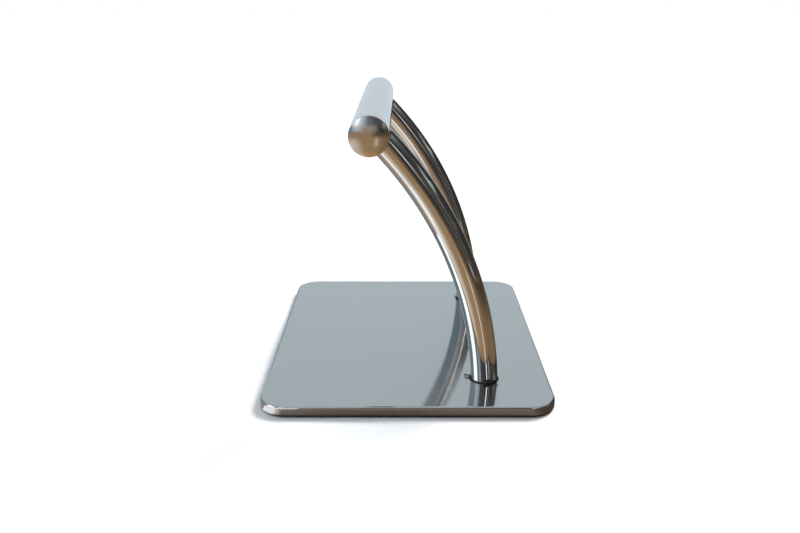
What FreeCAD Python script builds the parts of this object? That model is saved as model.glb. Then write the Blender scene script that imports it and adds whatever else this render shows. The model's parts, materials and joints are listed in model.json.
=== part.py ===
import FreeCAD, Part
import math
import os

# Salon footrest: a weighted base plate, two bent tube arms and a foot bar across their tops.
#
# Frame, in millimetres: the origin is on the floor under the middle of the base, +Z is up.
# The bar runs along Y. The arms stand near the back edge (+X) and lean forward over the base.
# Left is +Y and right is -Y, as seen by a person who stands in front (-X) and faces the rest.

# ---- base ----
BASE_X = 300.0               # base, front to back
BASE_Y = 400.0               # base, side to side
BASE_TOP = 12.0              # height of the cover's top face above the floor
CORNER_R = 28.0              # plan radius of the base's four corners
SKIN = 1.2                   # stainless sheet of the cover
RIM_BOTTOM = 1.5             # clearance between the rim and the floor
TOP_EDGE_R = 2.4             # outer bend radius around the top face
HEM_EDGE_R = 1.8             # outer bend radius where the rim turns under
HEM_WIDTH = 8.0              # how far the hem reaches in from the outside of the rim
BALLAST_T = 6.0              # mild steel weight plate
BALLAST_GAP = 0.8            # gap between the plate's edge and the inside of the rim
BALLAST_CHAMFER = 1.0        # clears the bend inside the cover

# ---- arms ----
ARM_OD = 28.6                # 1-1/8 inch tube
ARM_WALL = 1.5
ARM_X = 82.0                 # where the arms' centre lines start
ARM_Y = 130.0                # distance of each arm from the middle
ARM_BEND_R = 387.0           # bend radius of the centre line
ARM_BEND_Z = -2.0            # height of the bend's centre
ARM_HOLE_GAP = 0.35          # radial clearance in the cover and in the weight plate

# ---- foot bar ----
BAR_OD = 38.1                # 1-1/2 inch tube
BAR_WALL = 1.5
BAR_X = -36.0
BAR_Z = 279.2
BAR_HALF = 191.0             # half of the tube's length, without its caps
COPE_GAP = 0.05              # gap between an arm's coped end and the bar

# ---- end caps ----
CAP_RIM = 2.5                # straight part of the cap outside the tube
CAP_DOME = 4.5               # height of the dome
CAP_WALL = 1.5
CAP_SPIGOT = 14.0            # length that is driven into the tube
CAP_SPIGOT_GAP = 0.05
CAP_EDGE_R = 0.8             # rounding between the rim and the dome

# ---- welds ----
BAR_WELD_R = 3.0             # polished fillet between an arm and the bar
COLLAR_LEG = 2.6             # bead around an arm on top of the cover
COLLAR_CROWN = 0.58          # how far the bead's crown stands out, as a share of its legs
ROOT_HALF_WIDTH = 3.2        # bead around an arm's lower end, under the weight plate
ROOT_DEPTH = 2.0
TACK_R = 1.7                 # tacks between the weight plate and the rim
TACK_LENGTH = 14.0
TACKS_ALONG_Y = (-120.0, 0.0, 120.0)
TACKS_ALONG_X = (-75.0, 75.0)

# ---- rubber feet ----
FOOT_X = 118.0               # feet, from the middle of the base
FOOT_Y = 168.0
FOOT_TOP_R = 13.0
FOOT_BOTTOM_R = 12.0
FOOT_EDGE_R = 0.7
FOOT_RECESS_R = 6.2          # counterbore for the washer and the screw head
FOOT_SEAT_T = 1.6            # rubber between the washer and the weight plate
FOOT_HOLE_R = 2.3
WASHER_R = 6.0
WASHER_HOLE_R = 2.2
WASHER_T = 0.8
SCREW_HEAD_R = 4.0
SCREW_HEAD_T = 1.7
SCREW_HEAD_ROUND = 0.6
SCREW_R = 2.0                # M4
SCREW_HOLE_GAP = 0.05
SCREW_TIP_GAP = 0.6          # end of the thread below the cover's skin
DRIVE_WIDTH = 1.1            # cross recess
DRIVE_REACH = 4.4
DRIVE_DEPTH = 0.9

X_AXIS = FreeCAD.Vector(1, 0, 0)
Y_AXIS = FreeCAD.Vector(0, 1, 0)
Z_AXIS = FreeCAD.Vector(0, 0, 1)
EDGE_TOL = 1e-6
SEAM_TOL = 0.01
SEAM_SAMPLES = 5
OVERSHOOT = 5.0              # cutters run this far past the faces they cut

SKIN_UNDER = BASE_TOP - SKIN                 # underside of the cover's top skin
BALLAST_BOTTOM = SKIN_UNDER - BALLAST_T
ARM_R = ARM_OD / 2
BAR_R = BAR_OD / 2
SIDES = {"left": 1, "right": -1}
FOOT_PLACES = {
    "front_left": (-FOOT_X, FOOT_Y),
    "front_right": (-FOOT_X, -FOOT_Y),
    "back_left": (FOOT_X, FOOT_Y),
    "back_right": (FOOT_X, -FOOT_Y),
}


def export(name, shape):
    """Write one node as parts/NAME.step and report what it holds."""
    shape.exportStep("parts/" + name + ".step")
    print(name, "solids", len(shape.Solids), "valid", shape.isValid(), "volume", round(shape.Volume, 1))


def level_edges(shape, z):
    """Edges that lie wholly at one height."""
    return [
        edge
        for edge in shape.Edges
        if abs(edge.BoundBox.ZMin - z) < EDGE_TOL and abs(edge.BoundBox.ZMax - z) < EDGE_TOL
    ]


def slab(inset, z_low, z_high):
    """The base's outline moved inwards by inset, between two heights."""
    size_x = BASE_X - 2 * inset
    size_y = BASE_Y - 2 * inset
    corner = FreeCAD.Vector(-size_x / 2, -size_y / 2, z_low)
    box = Part.makeBox(size_x, size_y, z_high - z_low, corner)
    uprights = [edge for edge in box.Edges if edge.BoundBox.ZLength > EDGE_TOL]
    return box.makeFillet(CORNER_R - inset, uprights)


def upright(radius, x, y, z_low, z_high):
    """A vertical cylinder."""
    return Part.makeCylinder(radius, z_high - z_low, FreeCAD.Vector(x, y, z_low), Z_AXIS)


def turned(profile, base, axis):
    """A closed outline of edges, turned once around an axis."""
    face = Part.Face(Part.Wire(profile))
    return face.revolve(base, axis, 360)


def arm_centre_x(z):
    """X of an arm's centre line at a height."""
    return ARM_X - ARM_BEND_R + math.sqrt(ARM_BEND_R**2 - (z - ARM_BEND_Z) ** 2)


def bent_rod(radius, y):
    """A solid round rod along an arm's centre line, from below the base to the bar's axis."""
    bend = FreeCAD.Vector(ARM_X - ARM_BEND_R, y, ARM_BEND_Z)
    start = FreeCAD.Vector(ARM_X, y, ARM_BEND_Z)
    sweep = math.degrees(math.atan2(BAR_Z - bend.z, BAR_X - bend.x))
    disc = Part.Face(Part.Wire(Part.makeCircle(radius, start, Z_AXIS)))
    return disc.revolve(bend, -Y_AXIS, sweep)


def bar_rod(radius, half_length):
    """A solid round rod on the foot bar's axis."""
    start = FreeCAD.Vector(BAR_X, -half_length, BAR_Z)
    return Part.makeCylinder(radius, 2 * half_length, start, Y_AXIS)


def make_base_cover():
    """Pressed stainless tray: top skin, rim and a narrow hem turned under, with two arm holes."""
    outside = slab(0, RIM_BOTTOM, BASE_TOP)
    outside = outside.makeFillet(TOP_EDGE_R, level_edges(outside, BASE_TOP))
    outside = outside.makeFillet(HEM_EDGE_R, level_edges(outside, RIM_BOTTOM))
    hem_top = RIM_BOTTOM + SKIN
    inside = slab(SKIN, hem_top, SKIN_UNDER)
    inside = inside.makeFillet(TOP_EDGE_R - SKIN, level_edges(inside, SKIN_UNDER))
    inside = inside.makeFillet(HEM_EDGE_R - SKIN, level_edges(inside, hem_top))
    mouth = slab(HEM_WIDTH, RIM_BOTTOM - OVERSHOOT, BALLAST_BOTTOM)
    cover = outside.cut(inside).cut(mouth)
    hole_x = arm_centre_x((SKIN_UNDER + BASE_TOP) / 2)
    for side in SIDES.values():
        hole = upright(ARM_R + ARM_HOLE_GAP, hole_x, side * ARM_Y, BALLAST_BOTTOM, BASE_TOP + OVERSHOOT)
        cover = cover.cut(hole)
    return cover


def make_ballast_plate():
    """Weight plate that fills the tray, bored for the arms and drilled for the feet's screws."""
    plate = slab(SKIN + BALLAST_GAP, BALLAST_BOTTOM, SKIN_UNDER)
    plate = plate.makeChamfer(BALLAST_CHAMFER, level_edges(plate, SKIN_UNDER))
    z_low = BALLAST_BOTTOM - OVERSHOOT
    z_high = SKIN_UNDER + OVERSHOOT
    hole_x = arm_centre_x((SKIN_UNDER + BALLAST_BOTTOM) / 2)
    for side in SIDES.values():
        plate = plate.cut(upright(ARM_R + ARM_HOLE_GAP, hole_x, side * ARM_Y, z_low, z_high))
    for x, y in FOOT_PLACES.values():
        plate = plate.cut(upright(SCREW_R + SCREW_HOLE_GAP, x, y, z_low, z_high))
    return plate


def make_tack(x, y, along):
    """One short bead in the seam between the weight plate and the rim."""
    start = FreeCAD.Vector(x, y, BALLAST_BOTTOM) - along * (TACK_LENGTH / 2)
    bead = Part.makeCylinder(TACK_R, TACK_LENGTH, start, along)
    bead = bead.fuse(Part.makeSphere(TACK_R, start))
    bead = bead.fuse(Part.makeSphere(TACK_R, start + along * TACK_LENGTH))
    below = slab(SKIN, BALLAST_BOTTOM - OVERSHOOT, BALLAST_BOTTOM)
    return bead.removeSplitter().common(below)


def make_cover_tack_welds():
    """Tacks along all four sides."""
    seam_x = BASE_X / 2 - SKIN - BALLAST_GAP
    seam_y = BASE_Y / 2 - SKIN - BALLAST_GAP
    tacks = []
    for side in SIDES.values():
        tacks += [make_tack(side * seam_x, y, Y_AXIS) for y in TACKS_ALONG_Y]
        tacks += [make_tack(x, side * seam_y, X_AXIS) for x in TACKS_ALONG_X]
    return Part.makeCompound(tacks)


def make_arm(side):
    """Bent tube, flush with the weight plate's underside and coped to sit on the bar."""
    y = side * ARM_Y
    tube = bent_rod(ARM_R, y).cut(bent_rod(ARM_R - ARM_WALL, y))
    below = slab(0, BALLAST_BOTTOM - BASE_TOP, BALLAST_BOTTOM)
    cope = bar_rod(BAR_R + COPE_GAP, BAR_HALF)
    return tube.cut(below).cut(cope)


def make_bar_weld(side):
    """Concave fillet along the saddle where an arm meets the bar: the left one mirrors the right."""
    rod = bent_rod(ARM_R, -ARM_Y)
    bar = bar_rod(BAR_R, BAR_HALF)
    joint = rod.fuse(bar)
    seam = [edge for edge in joint.Edges if is_right_seam(edge)]
    weld = joint.makeFillet(BAR_WELD_R, seam).cut(rod).cut(bar)
    if side == SIDES["left"]:
        weld = weld.mirror(FreeCAD.Vector(0, 0, 0), Y_AXIS)
    return weld


def is_right_seam(edge):
    """True for an edge whose points all lie on both the bar's and the right arm's surface."""
    for point in edge.discretize(Number=SEAM_SAMPLES):
        off_bar = abs(math.hypot(point.x - BAR_X, point.z - BAR_Z) - BAR_R)
        reach = math.hypot(point.x - ARM_X + ARM_BEND_R, point.z - ARM_BEND_Z) - ARM_BEND_R
        off_arm = abs(math.hypot(reach, point.y + ARM_Y) - ARM_R)
        if max(off_bar, off_arm) > SEAM_TOL:
            return False
    return True


def make_collar_weld(side):
    """Convex bead around an arm where it leaves the cover."""
    inner = ARM_R + ARM_HOLE_GAP / 2
    foot = FreeCAD.Vector(arm_centre_x(BASE_TOP), side * ARM_Y, BASE_TOP)
    low_in = foot + FreeCAD.Vector(inner, 0, 0)
    high_in = low_in + FreeCAD.Vector(0, 0, COLLAR_LEG)
    low_out = low_in + FreeCAD.Vector(COLLAR_LEG, 0, 0)
    crown = low_in + FreeCAD.Vector(COLLAR_LEG, 0, COLLAR_LEG) * COLLAR_CROWN
    profile = [
        Part.makeLine(low_out, low_in),
        Part.makeLine(low_in, high_in),
        Part.Arc(high_in, crown, low_out).toShape(),
    ]
    return turned(profile, foot, Z_AXIS)


def make_root_weld(side):
    """Bead that joins an arm's lower end to the weight plate from below."""
    foot = FreeCAD.Vector(arm_centre_x(BALLAST_BOTTOM), side * ARM_Y, BALLAST_BOTTOM)
    middle = foot + FreeCAD.Vector(ARM_R, 0, 0)
    inner = middle - FreeCAD.Vector(ROOT_HALF_WIDTH, 0, 0)
    outer = middle + FreeCAD.Vector(ROOT_HALF_WIDTH, 0, 0)
    crown = middle - FreeCAD.Vector(0, 0, ROOT_DEPTH)
    profile = [
        Part.makeLine(outer, inner),
        Part.Arc(inner, crown, outer).toShape(),
    ]
    return turned(profile, foot, Z_AXIS)


def make_foot_bar():
    """Straight tube across the arms."""
    return bar_rod(BAR_R, BAR_HALF).cut(bar_rod(BAR_R - BAR_WALL, BAR_HALF + OVERSHOOT))


def make_end_cap(side):
    """Hollow domed cap with a spigot, turned around the bar's axis."""
    spigot_r = BAR_R - BAR_WALL - CAP_SPIGOT_GAP
    hollow_r = spigot_r - CAP_WALL
    dome_r = (BAR_R**2 + CAP_DOME**2) / (2 * CAP_DOME)
    dome_centre = CAP_RIM + CAP_DOME - dome_r
    # the rounded edge is a small circle that touches the rim and the dome from inside
    edge_r = BAR_R - CAP_EDGE_R
    edge_out = dome_centre + math.sqrt((dome_r - CAP_EDGE_R) ** 2 - edge_r**2)
    touch = math.atan2(edge_r, edge_out - dome_centre)
    hollow_touch = math.asin(hollow_r / (dome_r - CAP_WALL))

    def place(r, out):
        """A point of the outline: distance from the axis, and distance out from the tube's end."""
        return FreeCAD.Vector(BAR_X + r, side * (BAR_HALF + out), BAR_Z)

    def on_dome(radius, angle):
        return place(radius * math.sin(angle), dome_centre + radius * math.cos(angle))

    def on_edge(angle):
        return place(edge_r + CAP_EDGE_R * math.sin(angle), edge_out + CAP_EDGE_R * math.cos(angle))

    inner_r = dome_r - CAP_WALL
    rim_angle = math.pi / 2
    profile = [
        Part.Arc(on_dome(dome_r, 0), on_dome(dome_r, touch / 2), on_dome(dome_r, touch)).toShape(),
        Part.Arc(on_edge(touch), on_edge((touch + rim_angle) / 2), on_edge(rim_angle)).toShape(),
        Part.makeLine(on_edge(rim_angle), place(BAR_R, 0)),
        Part.makeLine(place(BAR_R, 0), place(spigot_r, 0)),
        Part.makeLine(place(spigot_r, 0), place(spigot_r, -CAP_SPIGOT)),
        Part.makeLine(place(spigot_r, -CAP_SPIGOT), place(hollow_r, -CAP_SPIGOT)),
        Part.makeLine(place(hollow_r, -CAP_SPIGOT), on_dome(inner_r, hollow_touch)),
        Part.Arc(
            on_dome(inner_r, hollow_touch), on_dome(inner_r, hollow_touch / 2), on_dome(inner_r, 0)
        ).toShape(),
        Part.makeLine(on_dome(inner_r, 0), on_dome(dome_r, 0)),
    ]
    return turned(profile, place(0, 0), Y_AXIS)


def make_rubber_foot(x, y):
    """Tapered rubber pad with a counterbore for its washer and screw."""
    body = Part.makeCone(FOOT_BOTTOM_R, FOOT_TOP_R, BALLAST_BOTTOM, FreeCAD.Vector(x, y, 0), Z_AXIS)
    body = body.makeFillet(FOOT_EDGE_R, level_edges(body, 0))
    recess = upright(FOOT_RECESS_R, x, y, -OVERSHOOT, BALLAST_BOTTOM - FOOT_SEAT_T)
    hole = upright(FOOT_HOLE_R, x, y, -OVERSHOOT, BALLAST_BOTTOM + OVERSHOOT)
    return body.cut(recess).cut(hole)


def make_foot_washer(x, y):
    """Plain washer at the bottom of a foot's counterbore."""
    top = BALLAST_BOTTOM - FOOT_SEAT_T
    disc = upright(WASHER_R, x, y, top - WASHER_T, top)
    return disc.cut(upright(WASHER_HOLE_R, x, y, top - WASHER_T - OVERSHOOT, top + OVERSHOOT))


def make_foot_screw(x, y):
    """Low pan-head screw with a cross recess, threaded into the weight plate."""
    seat = BALLAST_BOTTOM - FOOT_SEAT_T - WASHER_T
    bottom = seat - SCREW_HEAD_T
    head = upright(SCREW_HEAD_R, x, y, bottom, seat)
    head = head.makeFillet(SCREW_HEAD_ROUND, level_edges(head, bottom))
    shank = upright(SCREW_R, x, y, seat, SKIN_UNDER - SCREW_TIP_GAP)
    screw = head.fuse(shank).removeSplitter()
    half_width = DRIVE_WIDTH / 2
    half_reach = DRIVE_REACH / 2
    for size_x, size_y in ((half_reach, half_width), (half_width, half_reach)):
        corner = FreeCAD.Vector(x - size_x, y - size_y, bottom - OVERSHOOT)
        slot = Part.makeBox(2 * size_x, 2 * size_y, DRIVE_DEPTH + OVERSHOOT, corner)
        screw = screw.cut(slot)
    return screw


def main():
    os.makedirs("parts", exist_ok=True)
    export("base_cover", make_base_cover())
    export("ballast_plate", make_ballast_plate())
    export("cover_tack_welds", make_cover_tack_welds())
    export("foot_bar", make_foot_bar())
    for name, side in SIDES.items():
        export(name + "_arm", make_arm(side))
        export(name + "_collar_weld", make_collar_weld(side))
        export(name + "_root_weld", make_root_weld(side))
        export(name + "_bar_weld", make_bar_weld(side))
        export(name + "_end_cap", make_end_cap(side))
    for name, (x, y) in FOOT_PLACES.items():
        export(name + "_foot", make_rubber_foot(x, y))
    places = FOOT_PLACES.values()
    export("foot_washers", Part.makeCompound([make_foot_washer(x, y) for x, y in places]))
    export("foot_screws", Part.makeCompound([make_foot_screw(x, y) for x, y in places]))


main()
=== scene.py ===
import json
import math
import random

import bmesh
import bpy
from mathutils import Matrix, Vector, geometry, noise

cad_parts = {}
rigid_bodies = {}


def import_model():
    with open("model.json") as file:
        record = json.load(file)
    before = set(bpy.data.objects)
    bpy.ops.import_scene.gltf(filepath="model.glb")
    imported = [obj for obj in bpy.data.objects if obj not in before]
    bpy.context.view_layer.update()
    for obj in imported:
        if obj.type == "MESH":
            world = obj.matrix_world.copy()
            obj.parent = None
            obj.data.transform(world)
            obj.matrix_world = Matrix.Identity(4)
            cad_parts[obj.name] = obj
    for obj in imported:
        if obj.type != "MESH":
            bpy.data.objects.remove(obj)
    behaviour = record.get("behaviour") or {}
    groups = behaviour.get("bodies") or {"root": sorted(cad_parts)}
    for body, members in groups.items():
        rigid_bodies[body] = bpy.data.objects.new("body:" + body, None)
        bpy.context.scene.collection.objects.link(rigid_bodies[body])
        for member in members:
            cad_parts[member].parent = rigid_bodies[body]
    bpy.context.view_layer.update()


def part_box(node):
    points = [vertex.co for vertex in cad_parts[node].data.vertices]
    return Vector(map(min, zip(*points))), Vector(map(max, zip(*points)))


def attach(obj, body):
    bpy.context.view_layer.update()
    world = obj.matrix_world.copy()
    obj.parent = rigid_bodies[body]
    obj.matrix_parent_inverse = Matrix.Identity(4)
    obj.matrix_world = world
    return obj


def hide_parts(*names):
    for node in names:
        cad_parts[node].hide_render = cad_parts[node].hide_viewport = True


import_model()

# Salon footrest, in metres, in the CAD frame: X front to back, Y along the foot bar, Z up.
MM = 0.001

# ---- dimensions that the nodes' boxes don't give ----
CORNER_R = 28 * MM           # plan radius of the base's corners
SKIN = 1.2 * MM              # sheet of the cover
TOP_EDGE_R = 2.4 * MM        # outer bend radius around the top face
HEM_EDGE_R = 1.8 * MM        # outer bend radius at the hem
HEM_WIDTH = 8 * MM
ARM_X = 82 * MM              # start of the arms' centre lines
ARM_BEND_R = 387 * MM
ARM_BEND_Z = -2 * MM
ARM_HOLE_GAP = 0.35 * MM
TUBE_WALL = 1.5 * MM         # of the arms, the bar and the caps
CAP_RIM = 2.5 * MM
CAP_DOME = 4.5 * MM
CAP_SPIGOT = 14 * MM
CAP_SPIGOT_GAP = 0.05 * MM
CAP_EDGE_R = 0.8 * MM
BAR_WELD_R = 3 * MM
ROOT_HALF_WIDTH = 3.2 * MM   # beads around the arms' lower ends
ROOT_DEPTH = 2.0 * MM
TACK_R = 1.7 * MM            # tacks in the seam between the weight plate and the rim
TACK_LENGTH = 14 * MM
TACKS_ALONG_Y = (-120 * MM, 0, 120 * MM)
TACKS_ALONG_X = (-75 * MM, 75 * MM)
FOOT_TOP_R = 13 * MM
FOOT_BOTTOM_R = 12 * MM
FOOT_SEAT_T = 1.6 * MM       # rubber between a washer and the weight plate
FOOT_RECESS_R = 6.2 * MM
FOOT_HOLE_R = 2.3 * MM
FOOT_EDGE_R = 0.7 * MM

# ---- places that they do give ----
cover_low, cover_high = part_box("base_cover")
ballast_low, ballast_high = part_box("ballast_plate")
bar_low, bar_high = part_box("foot_bar")
arm_low, arm_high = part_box("right_arm")
BASE_TOP = cover_high.z
RIM_BOTTOM = cover_low.z
BALLAST_BOTTOM = ballast_low.z
ARM_R = (arm_high.y - arm_low.y) / 2
ARM_Y = -(arm_high.y + arm_low.y) / 2
BAR_R = (bar_high.z - bar_low.z) / 2
BAR_X = (bar_high.x + bar_low.x) / 2
BAR_Z = (bar_high.z + bar_low.z) / 2
BAR_HALF = bar_high.y
SIDES = {"left": 1, "right": -1}
FEET = ("front_left", "front_right", "back_left", "back_right")

# ---- weld beads ----
COLLAR_HALF_WIDTH = 1.25 * MM
COLLAR_DEPTH = 0.75 * MM
COLLAR_RIPPLE = 1.5 * MM
ROOT_RIPPLE = 1.9 * MM
TACK_SHIFT = 0.4 * MM        # tacks lie a little inside the seam
BEAD_SUNK = 0.35             # how far a bead's flat side is sunk, as a share of its depth
BEAD_FOOT = 0.9              # half-width of that flat side, as a share of the bead's
BEAD_SCALLOP = 0.14          # height of the ripples, as a share of the bead's size
BEAD_ROUGH = 0.22            # slow swelling along it, as a share of its size
BEAD_LEAN = 0.25             # how far its crest wanders to a side
BEAD_GRIT = 0.05             # fine roughness of its skin
COLLAR_LIFT = 0.85           # how far a collar stands out of its corner, in half-widths
ROOT_SIZE = 0.86             # swell of the beads around the arms' lower ends
TACK_SIZE = 0.9              # and of the tacks
BEAD_ACROSS = 12             # points across a bead
BEAD_STEPS = 400             # points around a ring of bead
# for each side: overall size, blobs (angle, width, extra), spatter (angle, spread, reach in mm, count)
COLLARS = {
    -1: {
        "size": 0.72,
        "seed": 7,
        "blobs": ((-72, 32, 1.45), (-92, 13, 0.45), (172, 34, 0.6), (60, 40, 0.2)),
        "spatter": (
            (176, 9, (1.0, 7.0), 24), (158, 6, (1.0, 9.0), 14),
            (-52, 12, (3.0, 9.0), 5), (40, 60, (2.5, 7.0), 4),
        ),
    },
    1: {
        "size": 0.62,
        "seed": 19,
        "blobs": ((205, 24, 0.6), (80, 40, 0.3), (-20, 30, 0.2)),
        "spatter": ((172, 16, (1.2, 4.0), 5), (-30, 50, (2.5, 6.0), 4)),
    },
}

# ---- fineness and search ranges ----
AROUND = 128                 # points around a tube
ALONG = 160                  # points along an arm
CORNER_STEPS = 24            # points along each corner of the base
BEND_STEPS = 8               # points across a small bend
TACK_STEPS = 56              # points along a tack
NEAR_PLATE = (0, 0.2)        # the arms leave the weight plate between these bends, in radians
NEAR_BAR = (0.3, 0.9)        # and meet the bar between these
TAU = 2 * math.pi


# ---------------------- mesh helpers

def add_object(name, data):
    """Puts a mesh, a light or a camera in the scene."""
    added = bpy.data.objects.new(name, data)
    bpy.context.scene.collection.objects.link(added)
    return added


def add_surface(name, verts, faces, material):
    """A mesh object with one material."""
    mesh = bpy.data.meshes.new(name)
    mesh.from_pydata([tuple(v) for v in verts], [], faces)
    mesh.validate()
    mesh.materials.append(material)
    return add_object(name, mesh)


def new_piece(name, verts, faces, material, sharp=40, outwards=False):
    """A surface on the root body, smooth but for edges sharper than an angle in degrees."""
    piece = add_surface(name, verts, faces, material)
    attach(piece, "root")
    if outwards:
        face_outwards(piece.data)
    mark_sharp(piece.data, sharp)
    return piece


def mark_sharp(mesh, angle):
    """Smooth shading that breaks at sharp edges."""
    mesh.shade_smooth()
    limit = math.cos(math.radians(angle))
    by_edge = {}
    for face in mesh.polygons:
        for key in face.edge_keys:
            by_edge.setdefault(key, []).append(face.normal)
    for edge in mesh.edges:
        normals = by_edge.get(edge.key, [])
        edge.use_edge_sharp = len(normals) == 2 and normals[0].dot(normals[1]) < limit


def face_outwards(mesh):
    """Turns every face of closed lumps to look outwards."""
    work = bmesh.new()
    work.from_mesh(mesh)
    bmesh.ops.recalc_face_normals(work, faces=work.faces)
    work.to_mesh(mesh)
    work.free()


def strips(rows, columns, closed_rows=False):
    """Quads between neighbouring rows of a grid whose columns wrap round."""
    faces = []
    for row in range(rows if closed_rows else rows - 1):
        next_row = (row + 1) % rows
        for column in range(columns):
            next_column = (column + 1) % columns
            faces.append((
                row * columns + column,
                row * columns + next_column,
                next_row * columns + next_column,
                next_row * columns + column,
            ))
    return faces


def arc(centre_a, centre_b, radius, start, end, steps=BEND_STEPS):
    """Points of a circular arc in a plane, angles in degrees."""
    angles = [math.radians(start + (end - start) * k / steps) for k in range(steps + 1)]
    return [(centre_a + radius * math.cos(t), centre_b + radius * math.sin(t)) for t in angles]


def lathe(name, profile, origin, axis, material, around=AROUND, **shading):
    """Turns (radius, distance along the axis) points around an axis. A radius of 0 closes an end."""
    across = axis.orthogonal().normalized()
    third = axis.cross(across)
    verts, faces, rows = [], [], []
    for radius, along in profile:
        rows.append(len(verts))
        if radius == 0:
            verts.append(origin + axis * along)
            continue
        for k in range(around):
            turn = TAU * k / around
            verts.append(origin + axis * along + (across * math.cos(turn) + third * math.sin(turn)) * radius)
    for row in range(len(profile) - 1):
        here, there = rows[row], rows[row + 1]
        for k in range(around):
            after = (k + 1) % around
            if profile[row][0] == 0:
                faces.append((here, there + k, there + after))
            elif profile[row + 1][0] == 0:
                faces.append((here + k, there, here + after))
            else:
                faces.append((here + k, there + k, there + after, here + after))
    return new_piece(name, verts, faces, material, **shading)


# ---------------------- geometry of the object

def outline(inset):
    """Plan outline of the base, moved inwards by inset."""
    radius = CORNER_R - inset
    centre_x = cover_high.x - CORNER_R
    centre_y = cover_high.y - CORNER_R
    points = []
    for turn, sign_x, sign_y in ((0, 1, 1), (90, -1, 1), (180, -1, -1), (270, 1, -1)):
        points += arc(sign_x * centre_x, sign_y * centre_y, radius, turn, turn + 90, CORNER_STEPS)
    return points


def arm_centre_x(z):
    """X of an arm's centre line at a height."""
    return ARM_X - ARM_BEND_R + math.sqrt(ARM_BEND_R**2 - (z - ARM_BEND_Z) ** 2)


def arm_point(y, radius, bend, turn):
    """A point around an arm: bend is the angle along it, turn the angle around it."""
    reach = ARM_BEND_R + radius * math.cos(turn)
    x = ARM_X - ARM_BEND_R + reach * math.cos(bend)
    z = ARM_BEND_Z + reach * math.sin(bend)
    return Vector((x, y + radius * math.sin(turn), z))


def solve(low, high, inside):
    """The value between low and high where inside() changes from False to True."""
    for _ in range(40):
        middle = (low + high) / 2
        if inside(middle):
            high = middle
        else:
            low = middle
    return (low + high) / 2


def make_base_cover(material):
    """Top skin, bends, rim and hem as one sheet with its two arm holes."""
    hem_top = RIM_BOTTOM + SKIN
    under = BASE_TOP - SKIN
    flat = 0.15 * MM
    inner_top_r = TOP_EDGE_R - SKIN
    inner_hem_r = HEM_EDGE_R - SKIN
    lip = 0.3 * MM

    def bend(inset, z, radius, start, end):
        """A rounded corner of the section, around a point at an inset and a height."""
        return [(inset - a, z + b) for a, b in arc(0, 0, radius, start, end)]

    profile = [(TOP_EDGE_R + flat, BASE_TOP)]
    profile += bend(TOP_EDGE_R, BASE_TOP - TOP_EDGE_R, TOP_EDGE_R, 90, 0)
    profile += [(0, BASE_TOP - TOP_EDGE_R - flat), (0, RIM_BOTTOM + HEM_EDGE_R + flat)]
    profile += bend(HEM_EDGE_R, RIM_BOTTOM + HEM_EDGE_R, HEM_EDGE_R, 0, -90)
    profile.append((HEM_WIDTH - 2 * lip, RIM_BOTTOM))
    profile += [(HEM_WIDTH - lip - b, RIM_BOTTOM + lip - a) for a, b in arc(0, 0, lip, 0, -90, 4)]
    profile += [(HEM_WIDTH - lip + a, hem_top - lip + b) for a, b in arc(0, 0, lip, 0, 90, 4)]
    profile.append((HEM_WIDTH - 2 * lip, hem_top))
    profile += bend(SKIN + inner_hem_r, hem_top + inner_hem_r, inner_hem_r, -90, 0)
    profile += bend(SKIN + inner_top_r, under - inner_top_r, inner_top_r, 0, 90)
    profile.append((TOP_EDGE_R + flat, under))
    verts = []
    for inset, z in profile:
        verts += [Vector((x, y, z)) for x, y in outline(inset)]
    columns = len(verts) // len(profile)
    faces = strips(len(profile), columns)
    hole_r = ARM_R + ARM_HOLE_GAP
    hole_x = arm_centre_x((under + BASE_TOP) / 2)
    holes = []
    for z in (BASE_TOP, under):
        for side in SIDES.values():
            holes.append(range(len(verts), len(verts) + AROUND))
            for k in range(AROUND):
                turn = TAU * k / AROUND
                verts.append(Vector((
                    hole_x + hole_r * math.cos(turn), side * ARM_Y + hole_r * math.sin(turn), z
                )))
    loops = (
        [list(range(columns)), list(holes[0]), list(holes[1])],
        [list(range((len(profile) - 1) * columns, len(profile) * columns)), list(holes[2]), list(holes[3])],
    )
    for up, level in zip((True, False), loops):
        order = [index for loop in level for index in loop]
        for a, b, c in geometry.tessellate_polygon([[verts[i] for i in loop] for loop in level]):
            face = (order[a], order[b], order[c])
            normal = geometry.normal([verts[i] for i in face])
            faces.append(face if (normal.z > 0) == up else face[::-1])
    for top, bottom in ((holes[0], holes[2]), (holes[1], holes[3])):
        for k in range(AROUND):
            after = (k + 1) % AROUND
            faces.append((top[k], top[after], bottom[after], bottom[k]))
    return new_piece("base_cover_skin", verts, faces, material)


def make_arm(name, side, material):
    """Bent tube whose every line runs from the weight plate's underside to the bar."""
    y = side * ARM_Y

    def line(radius, turn):
        start = solve(*NEAR_PLATE, lambda bend: arm_point(y, radius, bend, turn).z > BALLAST_BOTTOM)
        end = solve(start, NEAR_BAR[1], lambda bend: off_bar(arm_point(y, radius, bend, turn)) < 0)
        return start, end

    verts = []
    for radius, order in ((ARM_R, 1), (ARM_R - TUBE_WALL, -1)):
        spans = [line(radius, TAU * k / AROUND) for k in range(AROUND)]
        for row in range(ALONG + 1)[::order]:
            for k, (start, end) in enumerate(spans):
                bend = start + (end - start) * row / ALONG
                verts.append(arm_point(y, radius, bend, TAU * k / AROUND))
    return new_piece(name, verts, strips(2 * (ALONG + 1), AROUND, closed_rows=True), material)


def off_bar(point):
    """Distance of a point from the bar's surface, negative inside."""
    return math.hypot(point.x - BAR_X, point.z - BAR_Z) - BAR_R


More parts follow.
